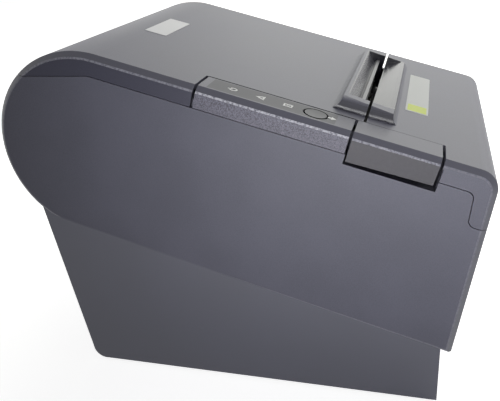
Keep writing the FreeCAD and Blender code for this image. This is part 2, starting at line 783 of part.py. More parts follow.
housing_cut = less("housing_cut", lower_shell, finger, bottom_cut)
far_rim = mirrored("rim_opposite", rim("far", lid_front))
main_housing = join("main_housing_built", housing_cut, bay_floor, bay_wall, bay_front, bay_ear, ear,
                    mirrored("ear_far", ear), rim("near", panel_start), far_rim, *towers)
passage_half = trough_half + well_wall + 0.4
well_passage = side_prism("well_passage", well_outline(well_wall + 0.4), -passage_half, passage_half * 2)
main_housing = less("main_housing_bored", main_housing, well_passage,
                    drum("lever_pin_bore", lever_pin, (lever_ear[0] - 1, lever_ear[1] + 1), lever_y, lever_z))
node("main_housing", main_housing)
pin = drum("hinge_pin_near", pin_radius, (ear_x[0], pin_end), hinge_y, hinge_z, False)
node("hinge_pins", group("pins", pin, mirrored("hinge_pin_far", pin)))
lever_pin_x = (lever_ear[0] - 4.0, lever_ear[1] + 4.0)
node("lever_pin", drum("lever_pin_rod", lever_pin, lever_pin_x, lever_y, lever_z))

# Top cover: the lid, with its hinge barrel, reaching to the paper slot

lid_near = strip_x + seam
lid_rear = radius * 2
notch_rear = -(panel_start - gap)
lid_plan = [
    (-beyond, lid_rear), (-beyond, notch_rear), (lid_near, notch_rear), (lid_near, -lid_front),
    (-trough_half, -lid_front), (-trough_half, -slot_back), (trough_half, -slot_back),
    (trough_half, -lid_front), (beyond, -lid_front), (beyond, lid_rear)]
lid_zone = plan_prism("lid_zone", lid_plan, -radius, radius * 3)
lid_raw = both("lid_part", covers, lid_zone)
barrel = drum("lid_barrel", hinge, (-hinge_end, hinge_end), hinge_y, hinge_z, False)
ear_play = 0.5
ear_span = (ear_x[0] - ear_play, ear_x[1] + ear_play)
ear_cut = drum("ear_cut", hinge + ear_play, ear_span, hinge_y, hinge_z, False)
knuckle_bore = drum("knuckle_bore", pin_radius + fit, (ear_x[0] - 1, pin_end + 1), hinge_y, hinge_z, False)
lid_cut = join("lid_cut", ear_cut, knuckle_bore)
skin = ceiling + 0.5
rib_low = ceiling - 2.5
rib_thick = 1.6
edge_wall = 1.8
notch_edge = block("notch_edge", (lid_near, lid_near + edge_wall), (-(panel_end - 1.5), notch_rear),
                   (skirt_z + 1, skin))
rib_x = (bay_inner + 4.0, half - wall - 2.8)
ribs = [block("lid_rib_%s" % tag, rib_x, (y, y + rib_thick), (rib_low, skin))
        for tag, y in (("a", 75.0 - platen_ahead), ("b", 45.0 - platen_ahead), ("c", 17.0 - platen_ahead))]
lip_low = ceiling - 7.0
lip_near = (bay_inner + 0.5, -trough_half - 1)
lip_far = (trough_half + 1, half - wall - 3.0)
lips = [block("lid_lip_%s" % tag, x, (-lid_front, edge_wall - lid_front), (lip_low, skin))
        for tag, x in (("near", lip_near), ("far", lip_far))]
top_cover = less("lid_bored", join("lid_built", lid_raw, barrel, notch_edge, *ribs, *lips), lid_cut,
                 mirrored("lid_cut_far", lid_cut))
node("top_cover", top_cover)
tear_top = trough_floor + 0.9
tear_edge = 0.1 - slot_back
tear = side_prism("tear_blank", [
    (2.3 - slot_back, trough_floor),
    (tear_edge, trough_floor),
    (tear_edge, tear_top),
    (1.5 - slot_back, tear_top),
], 0.3 - trough_half, trough_half * 2 - 0.6)
node("tear_bar", tear)

# Front cover: deck ahead of the slot, nose and the upper front face

cover_rear = -(lever_end + gap)
front_plan = [
    (-beyond, cover_rear), (-beyond, -beyond), (beyond, -beyond), (beyond, -slot), (lid_near, -slot),
    (lid_near, cover_rear)]
front_zone = plan_prism("front_zone", front_plan, -radius, radius * 3)
front_part = less("front_cut", both("front_part", covers, front_zone), finger)
front_ribs = [block("front_rib_%s" % tag, rib_x, (-y - rib_thick, -y), (rib_low, skin))
              for tag, y in (("a", nose_ahead - 13.0), ("b", nose_ahead - 3.0))]
front_lips = [block("front_lip_%s" % tag, x, (-slot - edge_wall, -slot), (lip_low, skin))
              for tag, x in (("near", lip_near), ("far", lip_far))]
node("front_cover", join("front_built", front_part, *front_ribs, *front_lips))

# Control panel: strip with overlay film and feed button

button_y = -behind_nose("button_back")
button = cell("button_radius")
film = cell("film")
film_x = (3.2 - half, strip_x - 1.0)
button_x = (film_x[0] + film_x[1]) / 2
film_y = (-(panel_end - 6.5), -(panel_start + 3.0))
panel_zone = block("panel_zone", (-beyond, strip_x), (-panel_end, -panel_start), (0 * radius, radius * 2))
panel_part = both("panel_part", covers, panel_zone)
panel_inner = block("panel_inner", (strip_x - 1.1, strip_x), (-panel_end, -panel_start), (skirt_z, skin))
panel_ends = [block("panel_end_%s" % tag, (1.0 - half, strip_x - 0.5), (y, y + 1.5), (skirt_z, skin))
              for tag, y in (("front", -panel_end), ("rear", -panel_start - 1.5))]
panel_ends = [both("panel_end_fit_%d" % k, end, case) for k, end in enumerate(panel_ends)]
film_bed = block("film_bed", film_x, film_y, (radius - film, radius + 2))
lamp = cell("lamp_radius")
lamp_y = [-(panel_start + cell("lamp_lead") + cell("lamp_pitch") * k) for k in range(3)]
lamp_holes = [post("lamp_hole_%d" % k, lamp + 0.1, button_x, y, (skirt_z, radius), True)
              for k, y in enumerate(lamp_y)]
button_play = cell("button_play")
panel = less("panel_cut", join("panel_built", panel_part, panel_inner, *panel_ends), film_bed,
             post("button_hole", button + button_play, button_x, button_y, (radius - 8, radius + 5), True),
             *lamp_holes)
node("control_panel", panel)
overlay = less("overlay_cut", block("overlay_blank", film_x, film_y, (radius - film, radius)),
               post("overlay_hole", button + button_play, button_x, button_y, (radius - 8, radius + 5), True))
node("panel_overlay", overlay)
cap_low = radius - 4.0
button_cap = post("button_cap", button, button_x, button_y, (cap_low, radius + 0.1), True)
button_flange = post("button_flange", button + 0.5, button_x, button_y, (cap_low - 1.0, cap_low), True)
button_dish = doc.addObject("Part::Sphere", "button_dish")
button_dish.Radius = 26
dish_y, dish_z = at(button_y, radius + 26 - 0.3)
put(button_dish, button_x, dish_y, dish_z, (1, 0, 0), 0)
node("feed_button", less("button_built", join("button_stem", button_cap, button_flange), button_dish))
panel_board_top = cap_low - 1.0 - cell("button_travel") - 0.4
node("panel_board", block(
    "panel_board_blank", (wall + rim_play + 0.5 - half, strip_x - 1.9), (3 - panel_end, -3 - panel_start),
    (panel_board_top - cell("board"), panel_board_top)))

lamp_guides = [post("lamp_guide_%d" % k, lamp, button_x, y, (panel_board_top, radius - film), True)
               for k, y in enumerate(lamp_y)]
node("light_guides", group("guides", *lamp_guides))

# Release lever: pivots near its rear end, lifted at the front through the finger recess

lever_low = radius - cell("lever_drop_rear")
lever_zone = side_prism("lever_zone", [
    (-lever_end, radius - cell("lever_drop_front")), (-lever_start, lever_low), (-lever_start, radius * 2),
    (-lever_end, radius * 2)], -beyond, beyond + strip_x)
lever_part = both("lever_part", shell, lever_zone)
lug_y = (lever_y - 2.4, lever_y + 2.0)
lug_z = (lever_z - 2.0, skin)
side_play = cell("side_play")
lug_outer = block("lug_outer", (wall * 0.5 - half, lever_ear[0] - side_play), lug_y, lug_z)
lug_inner = block("lug_inner", (lever_ear[1] + side_play, strip_x), lug_y, lug_z)
lever_rib = block("lever_rib", lever_ear, (-(lever_end - 1.6), -(lever_end - 4)), (skirt_z + 1, skin))
lever = less("lever_bored", join("lever_built", lever_part, lug_outer, lug_inner, lever_rib),
             drum("lever_bore", lever_pin + fit, (lever_pin_x[0] - 0.3, strip_x), lever_y, lever_z))
node("release_lever", lever)

# Paper well: round trough for the roll, with a shelf to the case sides

well_half = trough_half + well_wall
well_block = side_prism("well_block", well_outline(well_wall), -well_half, well_half * 2)
well_hollow = side_prism("well_hollow", well_outline(0.0), -trough_half, trough_half * 2)
shelf = block("shelf", (wall + 0.4 - half, half - wall - 0.4), (shelf_front, 16.0),
              (well_top - 1, well_top + 1))
well_room = block("well_room", (-half, half), (-beyond, beyond), (well_top + 1, well_top + radius))
paper_well = less("well_cut", join("well_built", well_block, shelf), well_hollow, well_room)
node("paper_well", paper_well)

# Paper feed: platen with its gear on the lid, idler and motor on the frame

platen_y = -platen_ahead
platen_z = cell("platen_up")
platen = cell("platen_radius")
shaft = cell("shaft_radius")
module = cell("gear_module")
play = cell("mesh_play")
far_plate = plate_x + sheet
arm_x = (far_plate + 0.5, far_plate + 2.5)
gear_x = (arm_x[1] + 2.3, arm_x[1] + 6.3)
wheel_x = (gear_x[1] + 1.2, gear_x[1] + 4.2)
first_distance = module * (cell("platen_teeth") + cell("idler_small_teeth")) / 2 + play
idler_y = platen_y - cell("idler_lead")
idler_z = platen_z - root(first_distance * first_distance - cell("idler_lead") * cell("idler_lead"))
second_distance = module * (cell("idler_large_teeth") + cell("motor_teeth")) / 2 + play
motor_y = idler_y - cell("motor_lead")
motor_z = idler_z - root(second_distance * second_distance - cell("motor_lead") * cell("motor_lead"))


def gear_outline(teeth, size, turn):
    """Involute teeth with three points on each flank; turn points a tooth in that direction."""
    pitch = teeth * size / 2
    base = pitch * math.cos(math.radians(20))
    tip = pitch + size
    foot = pitch - 1.25 * size
    half_tooth = math.pi / (2 * teeth) - 0.05 / pitch + math.tan(math.radians(20)) - math.radians(20)
    low = max(base, foot)
    flank = []
    for step in (0.0, 0.35, 0.68, 1.0):
        reach = low + (tip - low) * step
        press = math.acos(base / reach)
        flank.append((reach, half_tooth - math.tan(press) + press))
    if foot < base:
        flank.insert(0, (foot, flank[0][1]))
    points = []
    for tooth in range(teeth):
        middle = turn + 2 * math.pi * tooth / teeth
        points += [(reach, middle - spread) for reach, spread in flank]
        points += [(reach, middle + spread) for reach, spread in reversed(flank)]
    return [(reach * math.cos(angle), reach * math.sin(angle)) for reach, angle in points]


def gear_solid(teeth, size, turn, x, y, z, bore):
    """Gear about X between the pair x, in the deck frame."""
    outline = [FreeCAD.Vector(num(x[0]), num(y) + a, num(z) + b) for a, b in gear_outline(teeth, size, turn)]
    face = Part.Face(Part.makePolygon(outline + outline[:1]))
    solid = face.extrude(FreeCAD.Vector(num(x[1]) - num(x[0]), 0, 0))
    start = FreeCAD.Vector(num(x[0]) - 1, num(y), num(z))
    hole = Part.makeCylinder(num(bore), num(x[1]) - num(x[0]) + 2, start, FreeCAD.Vector(1, 0, 0))
    return solid.cut(hole)


def shaped(name, solid):
    thing = doc.addObject("Part::Feature", name)
    thing.Shape = solid
    return deck(thing)


def teeth_of(alias):
    return int(round(num(cell(alias))))


down = math.atan2(num(idler_z - platen_z), num(idler_y - platen_y))
on = math.atan2(num(motor_z - idler_z), num(motor_y - idler_y))
gap_turn = math.pi / teeth_of("idler_small_teeth")
pinion_turn = math.pi / teeth_of("motor_teeth")
node("platen_rubber", less(
    "rubber_cut", drum("rubber_blank", platen, (-paper_half, paper_half), platen_y, platen_z),
    drum("rubber_bore", shaft, (-plate_x, plate_x), platen_y, platen_z)))
node("platen_shaft", drum("platen_rod", shaft, (-arm_x[1] - 1.0, gear_x[1] + 0.5), platen_y, platen_z))
node("platen_gear", shaped("platen_teeth", gear_solid(
    teeth_of("platen_teeth"), num(module), down, gear_x, platen_y, platen_z, shaft)))
stud = 1.8
stud_rim = stud + 1.2
small = gear_solid(teeth_of("idler_small_teeth"), num(module), down + math.pi + gap_turn,
                   (gear_x[0] - 0.5, wheel_x[0] + 0.5), idler_y, idler_z, fit + stud)
large = gear_solid(teeth_of("idler_large_teeth"), num(module), on, wheel_x, idler_y, idler_z, fit + stud)
node("idler_gear", shaped("idler_teeth", small.fuse(large).removeSplitter()))
node("idler_stud", join(
    "stud_built", drum("stud_rod", stud, (far_plate, wheel_x[1] + 0.6), idler_y, idler_z),
    drum("stud_cap", stud_rim, (wheel_x[1] + 0.4, wheel_x[1] + 1.6), idler_y, idler_z),
    drum("stud_collar", stud_rim, (far_plate, gear_x[0] - 0.9), idler_y, idler_z)))
motor_rod = 1.0
motor_length = cell("motor_length")
node("motor_pinion", shaped("pinion_teeth", gear_solid(
    teeth_of("motor_teeth"), num(module), on + math.pi + pinion_turn,
    (wheel_x[0] - 0.4, wheel_x[1] + 0.4), motor_y, motor_z, fit + motor_rod)))
motor_can = drum("motor_can", cell("motor_radius"), (plate_x - motor_length, plate_x), motor_y, motor_z)
motor_axle = drum("motor_axle", motor_rod, (plate_x - 1, wheel_x[1] + 0.8), motor_y, motor_z)
node("feed_motor", join("motor_built", motor_can, motor_axle))

# Platen holder under the lid: arms that carry the platen and the fixed cutter blade

bush = 3.5
arm_outline = [
    (platen_y + 5.0, ceiling), (platen_y + 5.0, platen_z - 2), (platen_y + 2.5, platen_z - 4.6),
    (platen_y - 2.5, platen_z - 4.6), (platen_y - 5.0, platen_z - 2), (platen_y - 5.0, ceiling)]
arm = less("arm_bored", side_prism("arm_blank", arm_outline, arm_x[0], arm_x[1] - arm_x[0]),
           drum("arm_bore", bush, (plate_x, arm_x[1] + 1), platen_y, platen_z))
holder_z = cell("blade_up") + cell("blade_thick") + 0.9
bridge = block("holder_bridge", (-arm_x[1], arm_x[1]), (2.0 - slot_back, platen_y + 9), (holder_z, ceiling))
node("platen_holder", join("holder_built", bridge, arm, mirrored("arm_near", arm)))
bush_ring = less("bush_ring", drum("bush_blank", bush, arm_x, platen_y, platen_z),
                 drum("bush_bore", shaft + fit, (plate_x, arm_x[1] + 1), platen_y, platen_z))
node("platen_bushes", group("bushes", bush_ring, mirrored("bush_near", bush_ring)))
node("fixed_blade", block("fixed_blade_plate", (-paper_half - 1, paper_half + 1),
                          (-slot_back - 0.2, platen_y + 8), (holder_z - 0.8, holder_z)))

# Cutter: blade with two racks that slides to the rear under the fixed blade, its shaft and motor

blade_low = cell("blade_up")
blade_y = cell("blade_reach") - slot
blade_half = paper_half + 1.5
blade_tail = blade_y - cell("blade_length")
blade_hollow = 1.2
node("moving_blade", plan_prism("blade_plate", [
    (-blade_half, blade_tail), (blade_half, blade_tail), (blade_half, blade_y), (0, blade_y - blade_hollow),
    (-blade_half, blade_y)], blade_low, cell("blade_thick")))
rack = cell("rack_module")
rack_pitch = num(rack) * math.pi
rack_line = blade_low - rack * 3.75
cutter_y = platen_y - cell("cutter_lead")
cutter_z = rack_line - rack * cell("cutter_teeth") / 2 - play
rack_x = (paper_half - cell("rack_inset") - cell("rack_width"), paper_half - cell("rack_inset"))
rack_teeth = 6
tooth_tip = 0.85
tooth_root = 1.25
flank_slope = math.tan(math.radians(20))


def rack_solid(x):
    """Toothed bar under the blade between the pair x, with a tooth space above the cutter shaft."""
    tip = num(rack_line) - tooth_tip * num(rack)
    foot = num(rack_line) + tooth_root * num(rack)
    half_tooth = rack_pitch / 4 - 0.08
    tip_half = half_tooth - tooth_tip * num(rack) * flank_slope
    foot_half = half_tooth + tooth_root * num(rack) * flank_slope
    start = num(cutter_y) - rack_pitch * rack_teeth / 2
    points = [(start + rack_pitch * rack_teeth, num(blade_low)), (start, num(blade_low)), (start, foot)]
    for tooth in range(rack_teeth):
        middle = start + rack_pitch * (tooth + 0.5)
        points += [(middle - foot_half, foot), (middle - tip_half, tip), (middle + tip_half, tip),
                   (middle + foot_half, foot)]
    points.append((start + rack_pitch * rack_teeth, foot))
    outline = [FreeCAD.Vector(num(x[0]), y, z) for y, z in points]
    face = Part.Face(Part.makePolygon(outline + outline[:1]))
    return face.extrude(FreeCAD.Vector(num(x[1] - x[0]), 0, 0))


rack_far = shaped("rack_far", rack_solid(rack_x))
node("blade_rack", group("racks", rack_far, mirrored("rack_near", rack_far)))
drive_x = (far_plate + 1.5, far_plate + 5.0)
drive_distance = cell("drive_module") * (cell("drive_teeth") + cell("drive_pinion_teeth")) / 2 + play
drive_y = cutter_y - cell("drive_lead")
drive_z = cutter_z - root(drive_distance * drive_distance - cell("drive_lead") * cell("drive_lead"))
drive_on = math.atan2(num(drive_z - cutter_z), num(drive_y - cutter_y))
drive_size = num(cell("drive_module"))
rack_wheel = shaped("rack_wheel", gear_solid(
    teeth_of("cutter_teeth"), num(rack), math.pi / 2, rack_x, cutter_y, cutter_z, shaft))
drive_wheel = shaped("drive_wheel", gear_solid(
    teeth_of("drive_teeth"), drive_size, drive_on, drive_x, cutter_y, cutter_z, shaft))
node("cutter_gear", group("cutter_wheels", rack_wheel, mirrored("rack_wheel_near", rack_wheel), drive_wheel))
node("cutter_shaft", drum("cutter_rod", shaft, (-far_plate - 1.5, drive_x[1] + 0.8), cutter_y, cutter_z))
node("drive_pinion", shaped("drive_teeth", gear_solid(
    teeth_of("drive_pinion_teeth"), drive_size, drive_on + math.pi + math.pi / teeth_of("drive_pinion_teeth"),
    (drive_x[0] - 0.3, drive_x[1] + 0.3), drive_y, drive_z, fit + motor_rod)))
drive_can = drum("drive_can", cell("drive_radius"), (plate_x - motor_length, plate_x), drive_y, drive_z)
drive_axle = drum("drive_axle", motor_rod, (plate_x - 1, drive_x[1] + 0.6), drive_y, drive_z)
node("cutter_motor", join("drive_built", drive_can, drive_axle))

# Print head: heated strip on an aluminium carrier that leans on the platen

head_angle = 12.0
touch = platen + 0.12
head_dir = (math.cos(math.radians(head_angle)), -math.sin(math.radians(head_angle)))


def head_point(out, up):
    """Point at a distance out from the platen axis and up along the head's face."""
    away = touch + out
    return platen_y - away * head_dir[0] + up * head_dir[1], platen_z + away * head_dir[1] + up * head_dir[0]


def head_plate(name, out, up, reach):
    corners = [head_point(out[0], up[0]), head_point(out[1], up[0]), head_point(out[1], up[1]),
               head_point(out[0], up[1])]
    return side_prism(name, corners, -reach, reach * 2)


node("print_head", head_plate("head_strip", (0.0, 1.0), (-8.0, 4.5), paper_half))
node("head_carrier", head_plate("head_carrier_plate", (1.0, 4.5), (-9.0, 4.0), paper_half + 1))

# Mechanism frame: two sheet steel plates joined by beams

slot_free = shaft + 0.6
plate_top = platen_z + 5
plate_path = [
    (platen_y + 11, -22), (platen_y + 11, 14), (platen_y + 7, plate_top), (platen_y + slot_free, plate_top),
    (platen_y + slot_free, platen_z, -slot_free), (platen_y, platen_z - slot_free, -slot_free),
    (platen_y - slot_free, platen_z), (platen_y - slot_free, plate_top), (platen_y - 44, plate_top),
    (platen_y - 44, 4), (platen_y - 32, -22)]
frame_half = far_plate + 1
well_clearance = side_prism("well_clearance", well_outline(well_wall + 0.6), -frame_half, frame_half * 2)
near_plate = side_prism("frame_plate", turned(plate_path), -far_plate, sheet)
near_side = less("plate_near", near_plate, well_clearance,
                 drum("cutter_bearing", shaft + fit, (-frame_half, 1 - plate_x), cutter_y, cutter_z))
far_x = (plate_x - 1, frame_half)
far_side = less("plate_far", mirrored("plate_opposite", near_side),
                drum("drive_hole", motor_rod * 2, far_x, drive_y, drive_z),
                drum("motor_hole", motor_rod * 2, far_x, motor_y, motor_z))
beam = block("frame_beam", (-far_plate, far_plate), (platen_y - 42, platen_y - 40.8), (6.0, 24.0))
tie = block("frame_tie", (-far_plate, far_plate), (platen_y - 30, platen_y + 8), (-22.0, -20.8))
node("mechanism_frame", join("frame_built", near_side, far_side, beam, tie))

doc.recompute()
for thing in doc.Objects:
    if "Invalid" in thing.State or "Error" in thing.State:
        raise RuntimeError("%s did not build: %s" % (thing.Name, thing.State))
os.makedirs("parts", exist_ok=True)
for thing in NODES:
    if thing.Shape.isNull() or not thing.Shape.isValid() or thing.Shape.Volume <= 0:
        raise RuntimeError("%s has no sound shape" % thing.Label)
    thing.Shape.exportStep("parts/%s.step" % thing.Label)
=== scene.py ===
import json
import math

import bmesh
import bpy
from mathutils import Matrix, Quaternion, Vector


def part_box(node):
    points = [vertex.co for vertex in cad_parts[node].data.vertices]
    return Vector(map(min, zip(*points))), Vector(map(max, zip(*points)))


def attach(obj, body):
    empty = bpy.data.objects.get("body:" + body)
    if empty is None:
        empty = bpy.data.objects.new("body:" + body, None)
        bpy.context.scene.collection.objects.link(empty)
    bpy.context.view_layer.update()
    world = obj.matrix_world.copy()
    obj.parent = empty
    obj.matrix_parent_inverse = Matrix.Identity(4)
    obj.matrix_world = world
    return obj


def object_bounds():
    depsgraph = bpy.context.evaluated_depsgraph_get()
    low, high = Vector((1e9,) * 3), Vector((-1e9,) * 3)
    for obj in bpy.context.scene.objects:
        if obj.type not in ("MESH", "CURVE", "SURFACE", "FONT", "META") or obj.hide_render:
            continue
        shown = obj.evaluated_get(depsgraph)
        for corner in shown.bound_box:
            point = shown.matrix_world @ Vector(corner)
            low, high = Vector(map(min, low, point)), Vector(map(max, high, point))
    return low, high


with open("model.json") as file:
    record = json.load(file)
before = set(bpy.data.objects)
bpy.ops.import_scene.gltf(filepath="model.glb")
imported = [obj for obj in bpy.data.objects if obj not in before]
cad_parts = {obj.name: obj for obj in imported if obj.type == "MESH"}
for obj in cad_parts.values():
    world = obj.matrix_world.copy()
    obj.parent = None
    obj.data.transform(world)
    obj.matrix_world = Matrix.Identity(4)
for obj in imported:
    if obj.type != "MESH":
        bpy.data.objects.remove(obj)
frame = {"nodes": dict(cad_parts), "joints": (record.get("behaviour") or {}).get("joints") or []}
cad_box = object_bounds()
nodes = frame["nodes"]
joints = {joint["name"]: joint for joint in frame["joints"]}

MM = 0.001
ACROSS = Vector((1, 0, 0))
WHITE = (1.0, 1.0, 1.0, 1.0)
BLACK = (0.0, 0.0, 0.0, 1.0)
WARM = (0.985, 1.0, 0.92)
# Painted shade: near black put on the faces in the gaps between parts and in the groove round the feed
# button
GAP_PAINTED_SHADE = (0.004, 0.004, 0.005, 1.0)
# Painted highlight: the light line on the narrow facet under the covers' chamfers
EDGE_PAINTED_HIGHLIGHT = (0.50, 0.50, 0.56, 1.0)

# How far faces are turned to the printer's sides, or along the deck for END_TURN: 1 faces straight there

SIDE_TURN = 0.97
END_TURN = 0.95
CHAMFER_TURN, CHAMFER_PLAY = math.cos(math.radians(45)), 0.05
EDGE_TURN, EDGE_PLAY = math.cos(math.radians(22.5)), 0.03
BEAD_TURN_START, BEAD_TURN_STOP = 0.45, 0.85

# Shares of the case colour, roughness and shine on the covers' parts; the colour shares are painted shade

CHAMFER_PAINTED_SHADE = 0.72
TROUGH_PAINTED_SHADE = 0.35
BEAD_PAINTED_SHADE = 0.5
TROUGH_ROUGH = 0.2
GROOVE_ROUGH = 0.95
SPECULAR = 0.5
SIDE_SPECULAR = 0.25

# Sizes of the noise in the materials

SLOW_BLOB = 0.03
CASE_GRAIN = 0.45 * MM
CASE_DEPTH = 0.012 * MM
# Size of the sparkle in the painted highlight line under the chamfers
HIGHLIGHT_GRAIN = 0.9 * MM
GRAIN_DETAIL = 2.0

# The sloping deck: the feed button travels square to it, the moving blade along it

deck_up = -Vector(joints["feed_press"]["axis"]).normalized()
deck_rear = Vector(joints["blade_slide"]["axis"]).normalized()
deck_turn = Matrix((ACROSS, deck_rear, deck_up)).transposed().to_4x4()


def reach(name, direction, pick=max):
    """Furthest reach of a CAD node along a direction, in metres."""
    return pick(vertex.co.dot(direction) for vertex in nodes[name].data.vertices)


film_top = reach("panel_overlay", deck_up)
film_rear = reach("panel_overlay", deck_rear)
film_middle_x = sum(corner.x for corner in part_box("panel_overlay")) / 2
deck_level = reach("control_panel", deck_up)

# Where the covers' shader paints shade into the gaps and the paper trough

gap_middle = reach("front_cover", deck_rear) + 0.55 * MM
gap_half = 0.9 * MM
strip_edge = reach("control_panel", ACROSS) + 0.12 * MM
strip_gap_half = 0.4 * MM
strip_gap_deep = 0.5 * MM
strip_ends = [reach("control_panel", deck_rear, pick) for pick in (min, max)]
strip_middle = sum(strip_ends) / 2
strip_half = strip_ends[1] - strip_middle
trough_half = reach("tear_bar", ACROSS) + 0.4 * MM
trough_middle = gap_middle - 0.1 * MM
trough_reach = 9.6 * MM
bead_level = deck_level + 0.1 * MM


def deck_place(x, rearward, height):
    """Placement on the deck from x, the distance along it to the rear and the distance square to it."""
    spot = ACROSS * x + deck_rear * rearward + deck_up * height
    return Matrix.Translation(spot) @ deck_turn


# Parts of a shader


def shader_tree(name):
    made = bpy.data.materials.new(name)
    made.use_nodes = True
    tree = made.node_tree
    return made, tree, tree.nodes["Principled BSDF"]


def enter(tree, entry, socket):
    """Put a number or a colour on a socket, or link an output to it."""
    if isinstance(entry, (int, float, tuple)):
        socket.default_value = entry
    else:
        tree.links.new(entry, socket)


def noise(tree, size, detail=3.0):
    """Noise in the object's own coordinates whose blobs measure about size metres."""
    place = tree.nodes.new("ShaderNodeTexCoord")
    texture = tree.nodes.new("ShaderNodeTexNoise")
    texture.inputs["Scale"].default_value = 1.0 / size
    texture.inputs["Detail"].default_value = detail
    tree.links.new(place.outputs["Object"], texture.inputs["Vector"])
    return texture.outputs["Fac"]


def ramp(tree, value, low, high, start=0.3, stop=0.7):
    """Colour that goes from low to high as the value goes from start to stop."""
    band = tree.nodes.new("ShaderNodeValToRGB")
    for element, place, colour in zip(band.color_ramp.elements, (start, stop), (low, high)):
        element.position = place
        element.color = colour
    tree.links.new(value, band.inputs["Fac"])
    return band.outputs["Color"]


def spread(tree, value, low, high, start=0.0, stop=1.0):
    """Number that goes from low to high as the value goes from start to stop."""
    mapped = tree.nodes.new("ShaderNodeMapRange")
    mapped.inputs["From Min"].default_value = start
    mapped.inputs["From Max"].default_value = stop
    mapped.inputs["To Min"].default_value = low
    mapped.inputs["To Max"].default_value = high
    tree.links.new(value, mapped.inputs["Value"])
    return mapped.outputs["Result"]


def bumped(tree, value, depth):
    """Normal of a surface whose relief follows the value and is depth metres deep."""
    bump = tree.nodes.new("ShaderNodeBump")
    bump.inputs["Distance"].default_value = depth
    bump.inputs["Strength"].default_value = 1.0
    tree.links.new(value, bump.inputs["Height"])
    return bump.outputs["Normal"]


def combine(tree, operation, *entries):
    """Result of a math node on outputs of the tree and numbers."""
    made = tree.nodes.new("ShaderNodeMath")
    made.operation = operation
    for entry, socket in zip(entries, made.inputs):
        enter(tree, entry, socket)
    return made.outputs["Value"]


def both(tree, *masks):
    """Mask that is 1 where all masks are 1."""
    result = masks[0]
    for mask in masks[1:]:
        result = combine(tree, "MULTIPLY", result, mask)
    return result


def beyond(tree, value, limit):
    return combine(tree, "GREATER_THAN", value, limit)


def within(tree, value, middle, half):
    return combine(tree, "COMPARE", value, middle, half)


def outside(tree, mask):
    return combine(tree, "SUBTRACT", 1.0, mask)


def blend(tree, mask, low, high, mode="MIX"):
    """Colour low where the mask is 0 and high where it is 1. Both are colours or outputs."""
    made = tree.nodes.new("ShaderNodeMix")
    made.data_type = "RGBA"
    made.blend_type = mode
    for entry, socket in ((mask, "Factor"), (low, "A"), (high, "B")):
        enter(tree, entry, made.inputs[socket])
    return made.outputs["Result"]


def measured(tree, source, direction):
    """Length of a texture coordinate along a direction."""
    place = tree.nodes.new("ShaderNodeTexCoord")
    made = tree.nodes.new("ShaderNodeVectorMath")
    made.operation = "DOT_PRODUCT"
    made.inputs[1].default_value = direction
    tree.links.new(place.outputs[source], made.inputs[0])
    return made.outputs["Value"]


def along(tree, direction):
    """Distance of the shaded point along a direction, in metres."""
    return measured(tree, "Object", direction)


def endways(tree):
    """How far the face is turned along the deck: 1 on the covers' ends, 0 on the deck and the sides."""
    return combine(tree, "ABSOLUTE", measured(tree, "Normal", deck_rear))


def sideways(tree):
    """How far the face is turned to the printer's sides: 1 on the sides, 0 on the deck."""
    shape = tree.nodes.new("ShaderNodeNewGeometry")
    parts = tree.nodes.new("ShaderNodeSeparateXYZ")
    tree.links.new(shape.outputs["True Normal"], parts.inputs["Vector"])
    return combine(tree, "ABSOLUTE", parts.outputs["X"])


def shade(colour, factor):
    """Opaque colour made of three channels times a factor."""
    return tuple(min(channel * factor, 1.0) for channel in colour) + (1.0,)


def varied(tree, value, colour, share, **limits):
    """Colour that the value makes darker and lighter by a share."""
    return ramp(tree, value, shade(colour, 1 - share), shade(colour, 1 + share), **limits)


# Materials: a colour with slow mottling, a roughness that varies with it, and a fine surface grain


def moulded(name, colour, rough, grain, depth, mottle=0.06, metal=0.0, fleck=0.0, specular=SPECULAR):
    """Moulded or cast surface: grain is the size of its texture in metres and depth how deep it is."""
    made, tree, surface = shader_tree(name)
    slow = noise(tree, SLOW_BLOB)
    fine = noise(tree, grain, GRAIN_DETAIL)
    tone = varied(tree, slow, colour, mottle)
    if fleck:
        specks = ramp(tree, fine, shade(WHITE[:3], 1 - fleck), WHITE, 0.35, 0.6)
        tone = blend(tree, 1.0, tone, specks, "MULTIPLY")
    level = spread(tree, slow, rough * 0.92, rough * 1.08)
    tree.links.new(tone, surface.inputs["Base Color"])
    tree.links.new(level, surface.inputs["Roughness"])
    tree.links.new(bumped(tree, fine, depth), surface.inputs["Normal"])
    surface.inputs["Metallic"].default_value = metal
    surface.inputs["Specular IOR Level"].default_value = specular
    return made


